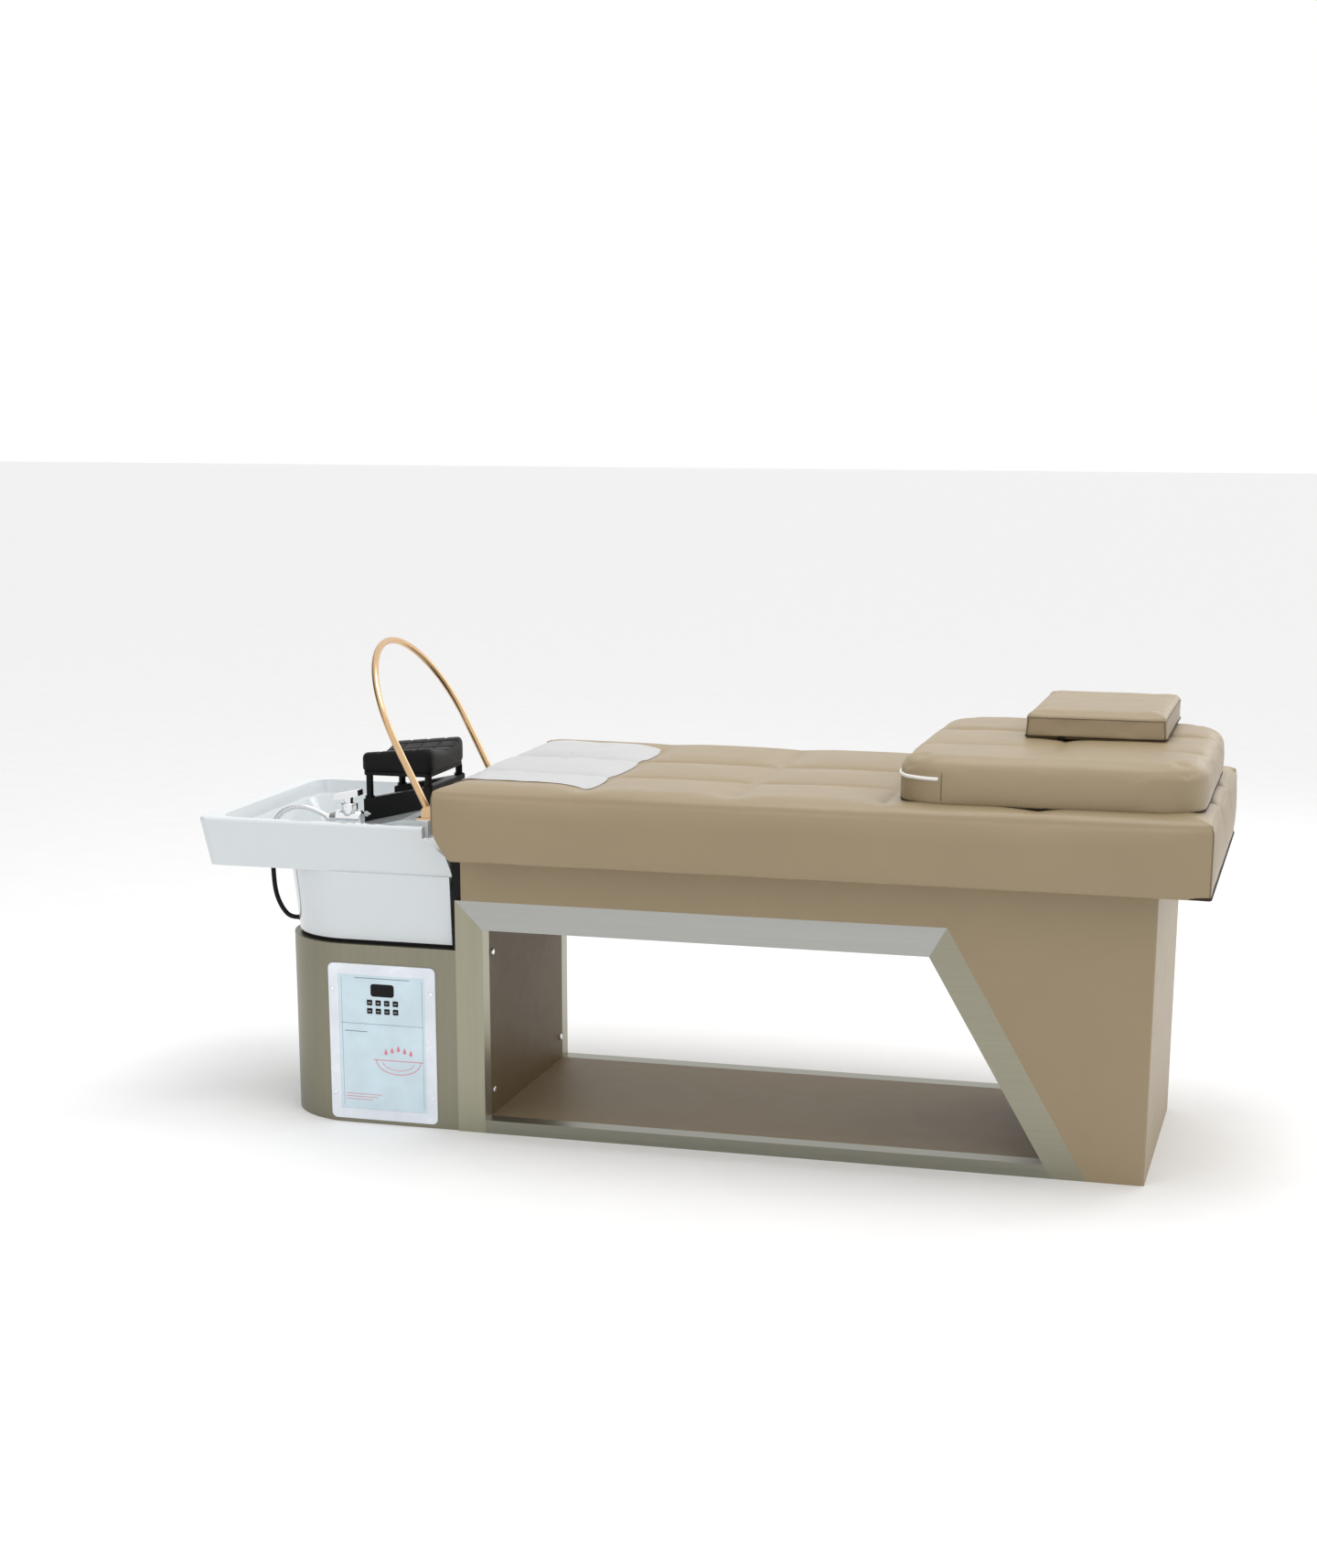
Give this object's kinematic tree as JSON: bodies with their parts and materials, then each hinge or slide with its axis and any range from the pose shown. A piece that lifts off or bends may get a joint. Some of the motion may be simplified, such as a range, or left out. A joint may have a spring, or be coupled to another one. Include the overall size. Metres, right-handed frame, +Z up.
{
  "type": "shampoo backwash unit",
  "caption": "Massage-bed style hair-wash unit: padded bed on a steel-trimmed base, ceramic basin on a service cabinet, with neck rest, swinging water arch, mixer and loose cushions.",
  "frame": {"origin": "on the floor, under the centre of the outer box", "axes": "+X from the basin to the foot end, +Z up; -Y is the side with the control panel"},
  "size_m": [2.0999, 0.764, 0.9988],
  "materials": {
    "leatherette": "satin",
    "foam_leatherette": "satin",
    "foam_black_leather": "satin",
    "trim_steel": "brushed",
    "cabinet_steel": "brushed",
    "chrome": "polished",
    "black_plastic": "satin",
    "rubber": "matte",
    "ceramic": "gloss",
    "white_plastic": "gloss",
    "fascia": "satin",
    "display": "gloss",
    "key_black": "satin",
    "circuit_board": "satin",
    "plywood": "matte",
    "rose_gold": "polished",
    "clear_film": "frosted",
    "tank_plastic": "satin",
    "pump_paint": "satin",
    "pipe_plastic": "satin"
  },
  "bodies": {
    "base": {"mattress": "foam_leatherette", "bed_box": "leatherette", "foot_block": "leatherette", "head_panel": "leatherette", "shelf_board": "leatherette", "mattress_board": "plywood", "head_panel_screws": "chrome", "bulkhead": "black_plastic", "head_film": "clear_film", "trim_stiles": "trim_steel", "trim_rails": "trim_steel", "trim_braces": "trim_steel", "trim_sills": "trim_steel", "cabinet_shell": "cabinet_steel", "cabinet_floor": "cabinet_steel", "cabinet_top": "cabinet_steel", "fixed_hinge_leaves": "chrome", "levelling_feet": "black_plastic", "tub_gasket": "rubber", "panel_bezel": "white_plastic", "panel_fascia": "fascia", "display_window": "display", "panel_screws": "chrome", "panel_housing": "black_plastic", "control_board": "circuit_board", "tub": "ceramic", "basin": "ceramic", "basin_well": "ceramic", "drain_flange": "chrome", "drain_pipe": "pipe_plastic", "neck_base": "black_plastic", "arch_brackets": "rose_gold", "mixer_body": "chrome", "mixer_hose": "chrome", "hose_grommet": "chrome", "supply_hose": "rubber", "hose_gland": "rubber", "inlet_nipples": "chrome", "power_inlet": "black_plastic", "water_tank": "tank_plastic", "circulation_pump": "pump_paint"},
    "door": {"service_door": "cabinet_steel", "door_hinge_leaves": "chrome"},
    "strainer": {"strainer": "chrome"},
    "neck_rest": {"neck_frame": "black_plastic", "neck_pad": "foam_black_leather"},
    "neck_knob": {"neck_knob": "chrome"},
    "arch": {"arch_tube": "rose_gold"},
    "mixer_cap": {"mixer_cap": "chrome"},
    "mixer_lever": {"mixer_lever": "chrome"},
    "leg_cushion": {"leg_cushion": "foam_leatherette"},
    "pillow": {"pillow": "foam_leatherette"},
    "button_1": {"button_1": "key_black"},
    "button_2": {"button_2": "key_black"},
    "button_3": {"button_3": "key_black"},
    "button_4": {"button_4": "key_black"},
    "button_5": {"button_5": "key_black"},
    "button_6": {"button_6": "key_black"},
    "button_7": {"button_7": "key_black"},
    "button_8": {"button_8": "key_black"}
  },
  "joints": [
    {"name": "door_swing", "type": "hinge", "parent": "base", "child": "door", "pos_m": [-0.8985, 0.118, 0.219], "axis": [0, 0, -1], "range_deg": [0, 110]},
    {"name": "strainer_lift", "type": "slide", "parent": "base", "child": "strainer", "axis": [0, 0, 1], "range_m": [0, 0.12]},
    {"name": "neck_rest_height", "type": "slide", "parent": "base", "child": "neck_rest", "axis": [0, 0, 1], "range_m": [-0.01, 0.025]},
    {"name": "knob_turn", "type": "hinge", "parent": "base", "child": "neck_knob", "pos_m": [-0.735, -0.108, 0.636], "axis": [0, 1, 0], "range_deg": [0, 180]},
    {"name": "arch_swing", "type": "hinge", "parent": "base", "child": "arch", "pos_m": [-0.558, 0, 0.665], "axis": [0, 1, 0], "range_deg": [-35, 30]},
    {"name": "mixer_swivel", "type": "hinge", "parent": "base", "child": "mixer_cap", "pos_m": [-0.738, -0.205, 0.668], "axis": [0, 0, 1], "range_deg": [-40, 40]},
    {"name": "mixer_lift", "type": "hinge", "parent": "mixer_cap", "child": "mixer_lever", "pos_m": [-0.738, -0.205, 0.668], "axis": [0, 1, 0], "range_deg": [0, 20]},
    {"name": "cushion_lift", "type": "slide", "parent": "base", "child": "leg_cushion", "axis": [0, 0, 1], "range_m": [0, 0.15]},
    {"name": "pillow_lift", "type": "slide", "parent": "leg_cushion", "child": "pillow", "axis": [0, 0, 1], "range_m": [0, 0.15]},
    {"name": "button_1_press", "type": "slide", "parent": "base", "child": "button_1", "axis": [0, 1, 0], "range_m": [0, 0.001], "stiffness_N_per_m": 400},
    {"name": "button_2_press", "type": "slide", "parent": "base", "child": "button_2", "axis": [0, 1, 0], "range_m": [0, 0.001], "stiffness_N_per_m": 400},
    {"name": "button_3_press", "type": "slide", "parent": "base", "child": "button_3", "axis": [0, 1, 0], "range_m": [0, 0.001], "stiffness_N_per_m": 400},
    {"name": "button_4_press", "type": "slide", "parent": "base", "child": "button_4", "axis": [0, 1, 0], "range_m": [0, 0.001], "stiffness_N_per_m": 400},
    {"name": "button_5_press", "type": "slide", "parent": "base", "child": "button_5", "axis": [0, 1, 0], "range_m": [0, 0.001], "stiffness_N_per_m": 400},
    {"name": "button_6_press", "type": "slide", "parent": "base", "child": "button_6", "axis": [0, 1, 0], "range_m": [0, 0.001], "stiffness_N_per_m": 400},
    {"name": "button_7_press", "type": "slide", "parent": "base", "child": "button_7", "axis": [0, 1, 0], "range_m": [0, 0.001], "stiffness_N_per_m": 400},
    {"name": "button_8_press", "type": "slide", "parent": "base", "child": "button_8", "axis": [0, 1, 0], "range_m": [0, 0.001], "stiffness_N_per_m": 400}
  ]
}
